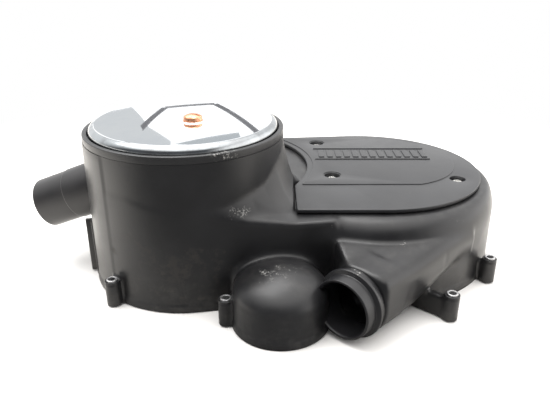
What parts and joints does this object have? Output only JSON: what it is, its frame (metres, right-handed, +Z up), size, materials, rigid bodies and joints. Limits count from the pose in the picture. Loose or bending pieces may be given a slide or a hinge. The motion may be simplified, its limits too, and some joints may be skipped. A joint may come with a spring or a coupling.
{
  "type": "air filter housing",
  "caption": "Moulded air filter housing: round drum with a lift-off chrome cap and foam filter, shallow belt case with a screwed plate, inlet tube and outlet duct.",
  "frame": {"origin": "under the middle of the housing's bounding box, on the plane it stands on", "axes": "+X along the belt case from the drum to the round end, +Y to the back, +Z up along the drum axis"},
  "size_m": [0.4794, 0.34, 0.166],
  "materials": {
    "moulded_plastic": "semi-gloss moulded black plastic, fine grain, light scuffs",
    "deck_plastic": "satin moulded dark grey plastic",
    "tube_plastic": "smooth satin black plastic",
    "chrome_cap": "polished, mirror bright",
    "copper_screw": "coppered steel, slightly worn",
    "bright_steel": "zinc plated, bright",
    "sleeve_steel": "turned steel, satin",
    "insert_brass": "knurled brass",
    "black_rubber": "matt black rubber",
    "gasket_rubber": "matt sealing sheet",
    "filter_foam": "open-cell foam, oiled",
    "end_ring_rubber": "moulded rubber end ring",
    "cage_steel": "perforated steel sheet"
  },
  "bodies": {
    "housing": {"main_housing": "moulded_plastic", "filter_drum": "moulded_plastic", "base_gasket": "gasket_rubber", "mount_sleeves": "sleeve_steel", "inlet_tube": "tube_plastic", "inlet_tube_seal": "black_rubber", "chamber_floor": "deck_plastic", "floor_gasket": "gasket_rubber", "floor_screws": "bright_steel", "cap_post": "bright_steel", "post_nut": "bright_steel", "cap_seal": "black_rubber", "plate_seal": "black_rubber", "plate_inserts": "insert_brass"},
    "cap": {"cap": "chrome_cap", "cap_screw_washer": "copper_screw"},
    "cap_screw": {"cap_screw": "copper_screw", "cap_screw_clip": "bright_steel"},
    "filter": {"filter_cage": "cage_steel", "filter_foam": "filter_foam", "filter_bottom_ring": "end_ring_rubber", "filter_top_ring": "end_ring_rubber", "filter_retainer": "cage_steel"},
    "access_plate": {"top_plate": "deck_plastic", "plate_washers": "bright_steel"},
    "plate_screw_1": {"plate_screw_1": "bright_steel"},
    "plate_screw_2": {"plate_screw_2": "bright_steel"},
    "plate_screw_3": {"plate_screw_3": "bright_steel"},
    "plate_screw_4": {"plate_screw_4": "bright_steel"}
  },
  "joints": [
    {"name": "cap_lift", "type": "slide", "parent": "housing", "child": "cap", "axis": [0, 0, 1], "range_m": [0, 0.2]},
    {"name": "cap_screw_turn", "type": "hinge", "parent": "cap", "child": "cap_screw", "pos_m": [-0.06827, -0.03198, 0.15], "axis": [0, 0, 1], "continuous": true},
    {"name": "filter_lift", "type": "slide", "parent": "housing", "child": "filter", "axis": [0, 0, 1], "range_m": [0, 0.11]},
    {"name": "plate_lift", "type": "slide", "parent": "housing", "child": "access_plate", "axis": [0, 0, 1], "range_m": [0, 0.06]},
    {"name": "plate_screw_1_turn", "type": "hinge", "parent": "access_plate", "child": "plate_screw_1", "pos_m": [0.06773, 0.01602, 0.083], "axis": [0, 0, 1], "continuous": true},
    {"name": "plate_screw_2_turn", "type": "hinge", "parent": "access_plate", "child": "plate_screw_2", "pos_m": [0.19673, 0.00602, 0.083], "axis": [0, 0, 1], "continuous": true},
    {"name": "plate_screw_3_turn", "type": "hinge", "parent": "access_plate", "child": "plate_screw_3", "pos_m": [0.05873, 0.12702, 0.083], "axis": [0, 0, 1], "continuous": true},
    {"name": "plate_screw_4_turn", "type": "hinge", "parent": "access_plate", "child": "plate_screw_4", "pos_m": [0.16673, 0.12302, 0.083], "axis": [0, 0, 1], "continuous": true}
  ],
  "couplings": [
    {"joint": "filter_lift", "follows": "cap_lift", "ratio": 0.55}
  ]
}
